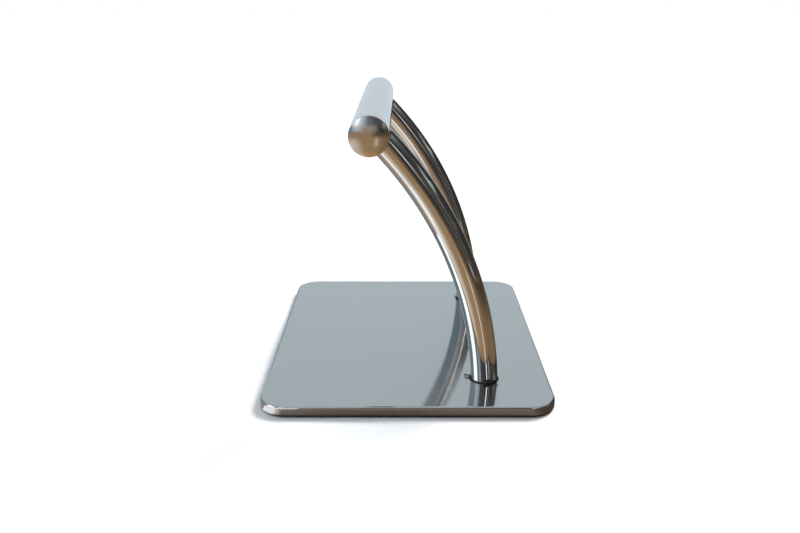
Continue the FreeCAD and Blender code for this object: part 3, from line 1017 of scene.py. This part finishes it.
def make_room():
    """Seen along +Y: a pale wall ahead, a window on the left, a tan floor, a dark right side."""
    room = Room()
    cover, across, above = room.cover, room.across, room.above
    # walls beside and behind the camera
    cover(above(27, 36), (0.095, 0.115, 0.13))
    cover(across(12, -8), (0.09, 0.11, 0.145))
    cover(across(2, -16), (0.20, 0.26, 0.32), above(20, 12))
    cover(across(-46, 14, 8), (0.42, 0.32, 0.25), above(9, 5.5))
    cover(across(-38, -58), (0.17, 0.25, 0.32))
    cover(across(-50, -70), (0.32, 0.42, 0.50), above(14, 20))
    cover(across(-74, -46, 6), (0.78, 0.98, 1.12), above(17, 24, 3.5))
    cover(above(44, 62), (0.50, 0.53, 0.56))
    cover(above(34, 41), (0.50, 0.53, 0.56), across(32, 44))
    cover(above(31, 37), (0.64, 0.63, 0.62), across(-42, 11, 4))
    # dark side: a slanting door strip, a lamp, slats and leaves behind glass
    lean = room.times(room.math("MAXIMUM", room.minus(room.elevation, 24), 0), 1.2)
    strip = room.band(room.minus(room.azimuth, lean), 15.5, 22, 1.2)
    cover(strip, (2.7, 2.7, 2.65), above(20.5, 41, 1.5))
    dimmer = room.ramp(room.elevation, 26, 21, 0.3, 1.0)
    cover(across(37, 44, 2), (1.1, 1.06, 1.07), above(10, 19), dimmer)
    slats = room.ramp(room.streaks(0.3, 0.16, 3, 0.7), 0.42, 0.60)
    cover(slats, (0.16, 0.157, 0.14), across(42, 92, 4), above(1, 23, 3))
    panes = room.ramp(room.streaks(0.2, 0.24, 2, 0.6), 0.58, 0.65)
    cover(panes, (0.80, 0.84, 0.82), across(62, 100, 5), above(10, 25, 3))
    leaves = room.ramp(room.noise(room.way, 9, 2, 0.6), 0.48, 0.58)
    cover(leaves, (1.0, 1.18, 1.08), across(84, 108, 4), above(22, 29, 2))
    # floor
    below = above(0.8, -0.8)
    cover(below, (0.43, 0.30, 0.17))
    cover(below, (0.27, 0.175, 0.10), across(16, 48))
    cover(below, (0.15, 0.12, 0.085), across(100, 130))
    cover(above(-40, -58), (0.70, 0.42, 0.15))
    cover(above(-30, -50), (0.36, 0.22, 0.09), across(12, 40))
    boards = room.ramp(room.noise(room.stretch(room.way, (1, 1, 5)), 5, 3, 0.6), 0.46, 0.62, 0.0, 0.8)
    cover(below, (0.50, 0.27, 0.125), boards, across(30, 10))
    cover(above(2, -2), (0.075, 0.062, 0.04), across(-2, 15), above(-12, -2))
    cover(below, (0.84, 0.72, 0.61), across(-12, -44), above(-8, -20))
    cover(below, (0.40, 0.33, 0.28), across(-78, -98))
    cover(below, (0.33, 0.37, 0.42), across(-48, -66), above(-16, -5))
    room.panel((8, 16), (-36, -24), 4, (0.66, 0.50, 0.27))
    room.panel((15, 21), (-30, -12), 1.5, (1.0, 0.87, 0.72))
    room.panel((-63, -54), (-47, -22), 7, (1.26, 1.22, 1.12))
    room.panel((59, 69), (-1.5, 1.5), 1.2, (0.5, 0.5, 0.48))
    # pale wall and table ahead
    ahead = room.math("MAXIMUM", across(-138, -162), across(150, 167))
    cover(ahead, (0.28, 0.25, 0.22), above(-13, -19))
    cover(ahead, (0.65, 0.73, 0.80), above(-12, 60, 3))
    cover(ahead, (0.605, 0.675, 0.715), above(9, 18))
    # window
    cover(across(-97, -64, 8), (3.6, 3.68, 3.78), above(25, 46, 4))
    room.finish()


def make_card(name, verts, faces, finish, fade=None):
    """A stage surface that only the steel's mirror sees."""
    if fade is not None:
        finish.feed(finish.shader.inputs["Alpha"], fade)
    card = add_surface(name, verts, faces, finish.material)
    card.visible_camera = False
    card.visible_diffuse = False
    card.visible_transmission = False
    card.visible_shadow = False


def make_shade():
    """Floor in the base's own shade, on all sides but the front. It is darkest behind the base."""
    finish = Finish("shaded_floor", 0.0)
    x_out = finish.minus(finish.math("ABSOLUTE", finish.x), cover_high.x - CORNER_R)
    y_out = finish.minus(finish.math("ABSOLUTE", finish.y), cover_high.y - CORNER_R)
    away = finish.math("MAXIMUM", x_out, y_out)
    start = cover_low.x + 0.3 * CORNER_R
    fade = finish.times(
        finish.ramp(away, CORNER_R + SHADE_REACH, CORNER_R + 0.3 * SHADE_REACH),
        finish.ramp(finish.x, start, start + 0.5 * CORNER_R),
    )
    back = finish.ramp(finish.x, cover_high.x - CORNER_R, cover_high.x)
    finish.done(finish.mix(back, (0.165, 0.116, 0.085), (0.062, 0.040, 0.024)), 0.6)
    span_x = (cover_low.x, cover_high.x + SHADE_REACH)
    span_y = (cover_low.y - SHADE_REACH, cover_high.y + SHADE_REACH)
    corners = [(span_x[a], span_y[b], 0.1 * MM) for a, b in SQUARE]
    make_card("shade", corners, [(0, 1, 2, 3)], finish, fade)


def make_highlight_cove():
    """Small white cove on the floor around the base's front right corner, glowing by itself: a painted
    highlight that only the steel mirrors in that corner of the rim.
    """
    finish = Finish("glowing_highlight_cove", 0.0)
    # painted highlight: the cove glows white and is seen only in the steel's mirror
    finish.glow((1.0, 1.02, 1.05), 1.3, 1.0)
    centre = Vector((cover_low.x + CORNER_R, cover_low.y + CORNER_R, 0))
    verts, faces = [], []
    steps = 24
    for step in range(steps + 1):
        turn = math.radians(-COVE_TURN + COVE_TURN * step / steps)
        way = Vector((math.sin(turn), -math.cos(turn), 0))
        near = COVE_NEAR if turn < math.radians(-COVE_NEAR_TURN) else COVE_LINE[0][0]
        for reach, height in ((near, COVE_LINE[0][1]), *COVE_LINE):
            verts.append(centre + way * reach * MM + Vector((0, 0, height * MM)))
    for step in range(steps):
        for k in range(3):
            first = 4 * step + k
            faces.append((first, first + 1, first + 5, first + 4))
    make_card("highlight_cove", verts, faces, finish)


def make_ledge():
    """Low grey ledge along the base's front side, glowing by itself: a painted grey reflection, so that the
    base's edge doesn't mirror the window.
    """
    finish = Finish("glowing_grey_reflection_ledge", 0.0)
    # painted reflection: the ledge glows grey-blue and is seen only in the steel's mirror
    finish.glow((0.25, 0.33, 0.39), 1, 1.0)
    fade = finish.ramp(finish.y, -0.5 * cover_high.y, -0.1 * cover_high.y)
    x_out, top = cover_low.x - LEDGE_GAP, cover_high.z + 1.25 * LEDGE_GAP
    turned_in = (x_out + 0.6 * LEDGE_GAP, cover_high.y + LEDGE_GAP)
    line = ((x_out, cover_low.y), (x_out, cover_high.y), turned_in)
    corners = [(x, y, z) for x, y in line for z in (0, top)]
    make_card("ledge", corners, [(0, 1, 3, 2), (2, 3, 5, 4)], finish, fade)


def make_screen():
    """Softbox screen beyond the bar's right cap: bright at the front, dark at the back."""
    finish = Finish("softbox_screen", 0.0)
    x, z = finish.x, finish.z
    colour = finish.mix(finish.ramp(x, 0.13, -0.03), (0.08, 0.087, 0.092), (0.17, 0.155, 0.185))
    colour = finish.mix(finish.ramp(x, -0.05, -0.27), colour, (0.60, 0.78, 0.91))
    colour = finish.mix(finish.ramp(x, -0.28, -0.43), colour, (2.1, 2.2, 2.3))
    low = finish.ramp(z, 0.56, 0.42)
    low_back = finish.times(low, finish.ramp(x, 0.21, 0.09))
    colour = finish.mix(low_back, colour, (0.42, 0.335, 0.28))
    low_front = finish.times(low, finish.ramp(x, -0.12, -0.36))
    colour = finish.mix(low_front, colour, (0.68, 0.74, 0.82))
    finish.glow(colour, 1, 0.5)
    notch = finish.math("MAXIMUM", finish.ramp(x, 0.26, 0.20), finish.ramp(z, 0.54, 0.57))
    height = finish.times(finish.ramp(z, 0.335, 0.365), finish.ramp(z, 1.0, 0.9))
    fade = finish.times(height, finish.band(x, -0.59, 0.43, 0.03), notch)
    corners = [(SCREEN_X[a], SCREEN_Y, SCREEN_Z[b]) for a, b in SQUARE]
    make_card("screen", corners, [(0, 1, 2, 3)], finish, fade)


def make_sun():
    """Wide soft sun from the back left. The steel doesn't mirror it."""
    data = bpy.data.lights.new("soft_sun", "SUN")
    data.energy = SUN_STRENGTH
    data.angle = math.radians(SUN_WIDTH)
    light = add_object("soft_sun", data)
    light.rotation_euler = Vector(SUN_WAY).to_track_quat("-Z", "Y").to_euler()
    light.visible_glossy = False


make_camera()
make_floor()
make_room()
make_shade()
make_highlight_cove()
make_ledge()
make_screen()
make_sun()
bpy.context.scene.view_settings.view_transform = "Standard"
